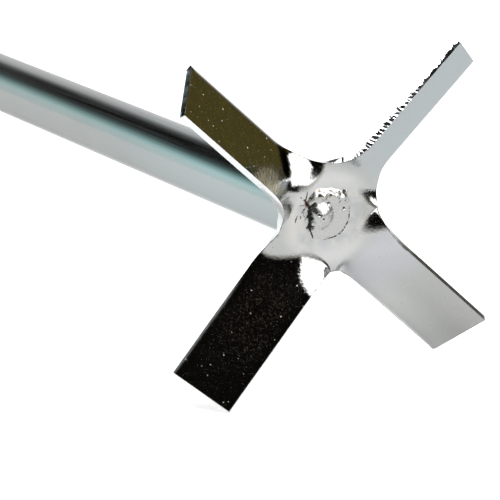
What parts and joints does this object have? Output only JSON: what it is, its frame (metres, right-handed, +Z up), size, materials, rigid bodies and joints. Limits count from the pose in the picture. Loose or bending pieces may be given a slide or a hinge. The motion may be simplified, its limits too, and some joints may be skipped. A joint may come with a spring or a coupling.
{
  "type": "mortar mixing paddle",
  "caption": "Drill-driven mixing paddle: a stamped cross of pitched, twisted blades welded to the end of a long plated bar with a hex drive end.",
  "frame": {"origin": "on the surface that the paddle lies on, under the middle of its box", "axes": "+Y along the bar from the impeller to the drive end, +Z up, the impeller's front facing -Y"},
  "size_m": [0.0522, 0.4052, 0.0521],
  "materials": {
    "plated_bar": "bright zinc plate on drawn bar",
    "plated_sheet": "bright plate on stamped sheet, satin at the hub",
    "weld_metal": "plated plug weld with ripples and dark burn marks"
  },
  "bodies": {
    "root": {"bar": "plated_bar", "impeller": "plated_sheet", "hub_weld": "weld_metal"}
  },
  "joints": []
}
